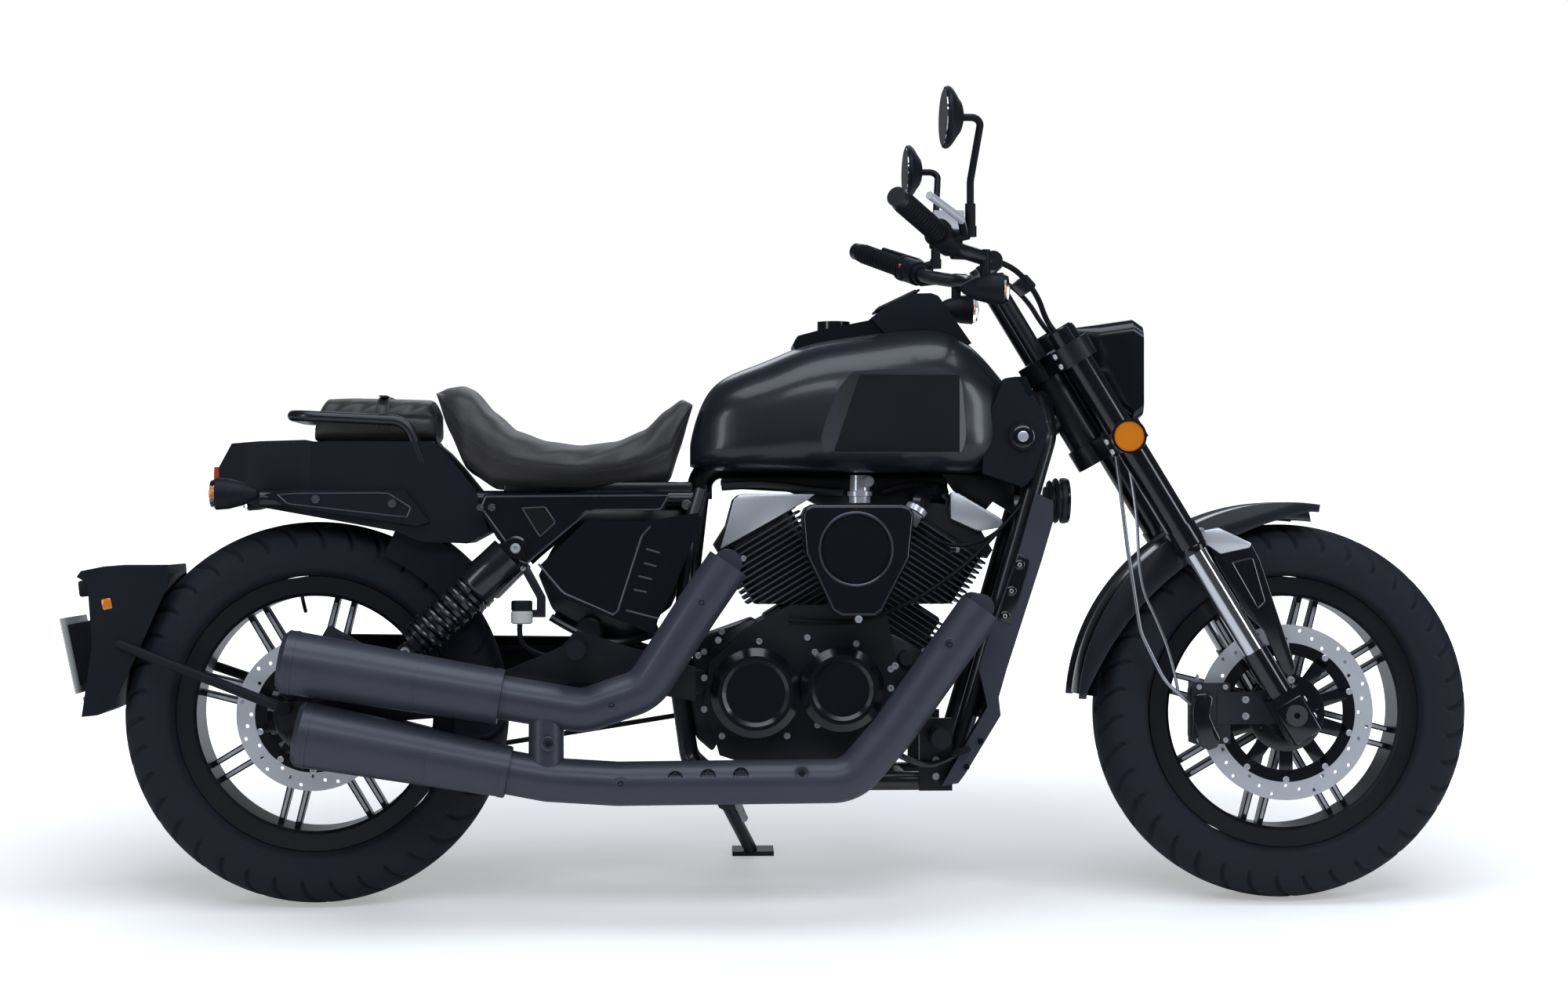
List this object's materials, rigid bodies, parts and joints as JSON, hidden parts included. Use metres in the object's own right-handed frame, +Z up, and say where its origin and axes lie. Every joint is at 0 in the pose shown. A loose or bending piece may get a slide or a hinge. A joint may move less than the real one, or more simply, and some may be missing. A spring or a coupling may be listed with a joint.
{
  "type": "cruiser motorcycle",
  "caption": "Cruiser motorcycle with a V-twin engine, stepped exhausts on one side, cast wheels and a teardrop tank, leaning on its side stand.",
  "frame": {"origin": "centre of the footprint on the ground, below the middle of the bounding box", "axes": "+X forward, +Y to the rider's left, +Z up; the machine leans 9 degrees to its left about X"},
  "size_m": [2.2284, 0.844, 1.2925],
  "materials": {
    "tyre_rubber": "matte",
    "wheel_black": "satin",
    "disc_steel": "satin",
    "pulley_dark": "satin",
    "bright_steel": "polished",
    "fork_black": "gloss",
    "frame_black": "satin",
    "cast_grey": "satin",
    "engine_case": "satin",
    "exhaust_dark": "satin",
    "body_gloss": "gloss",
    "body_satin": "matte",
    "seat_leather": "matte",
    "grip_rubber": "matte",
    "belt_rubber": "matte",
    "clear_lens": "polished",
    "amber_lens": "gloss",
    "red_lens": "gloss",
    "plate_white": "satin",
    "core_dark": "matte"
  },
  "bodies": {
    "front_wheel": {"front_tyre": "tyre_rubber", "front_wheel_rim": "wheel_black", "front_brake_disc": "disc_steel"},
    "rear_wheel": {"rear_tyre": "tyre_rubber", "rear_wheel_rim": "wheel_black", "rear_brake_disc": "disc_steel", "rear_belt_pulley": "pulley_dark"},
    "fork": {"front_axle": "bright_steel", "fork_legs": "fork_black", "fork_stanchions": "bright_steel", "fork_yokes": "fork_black", "handlebar": "fork_black", "grips": "grip_rubber", "bar_controls": "fork_black", "mirrors": "body_gloss", "headlight_shell": "body_gloss", "front_signals": "body_gloss", "front_lenses": "clear_lens", "side_reflectors": "amber_lens", "front_mudguard": "body_gloss", "mudguard_brackets": "fork_black", "front_caliper": "cast_grey", "brake_hose": "belt_rubber"},
    "frame": {"main_frame": "frame_black", "swingarm": "cast_grey", "rear_axle": "bright_steel", "shocks": "bright_steel", "drive_belt": "belt_rubber", "belt_guard": "body_satin", "cylinders": "cast_grey", "head_covers": "engine_case", "crankcase": "engine_case", "engine_covers": "engine_case", "air_cleaner": "body_gloss", "intake": "cast_grey", "header_shields": "exhaust_dark", "mufflers": "exhaust_dark", "fuel_tank": "body_gloss", "tank_console": "body_satin", "instrument_hood": "body_satin", "rider_seat": "seat_leather", "pillion_pad": "seat_leather", "rear_body": "body_gloss", "rear_signals": "body_gloss", "rear_lenses": "red_lens", "grab_rail": "bright_steel", "mudguard_stays": "bright_steel", "subframe_plates": "body_satin", "side_covers": "body_gloss", "radiator": "core_dark", "radiator_shrouds": "body_satin", "front_cowls": "body_gloss", "horn": "frame_black", "plate_holder": "body_satin", "number_plate": "plate_white", "rear_caliper": "cast_grey", "footrests": "cast_grey"},
    "side_stand": {"side_stand": "frame_black"}
  },
  "joints": [
    {"name": "steering", "type": "hinge", "parent": "frame", "child": "fork", "pos_m": [0.77835, -0.12478, 0.27562], "axis": [-0.5195, 0.1337, 0.8439], "range_deg": [-30, 30]},
    {"name": "front_wheel_spin", "type": "hinge", "parent": "fork", "child": "front_wheel", "pos_m": [0.81424, -0.12137, 0.29717], "axis": [0, 0.9877, -0.1564], "continuous": true},
    {"name": "rear_wheel_spin", "type": "hinge", "parent": "frame", "child": "rear_wheel", "pos_m": [-0.72576, -0.12106, 0.29914], "axis": [0, 0.9877, -0.1564], "continuous": true},
    {"name": "side_stand_pivot", "type": "hinge", "parent": "frame", "child": "side_stand", "pos_m": [-0.08576, -0.02199, 0.14475], "axis": [0, 0.7571, 0.6533], "range_deg": [0, 97]}
  ]
}
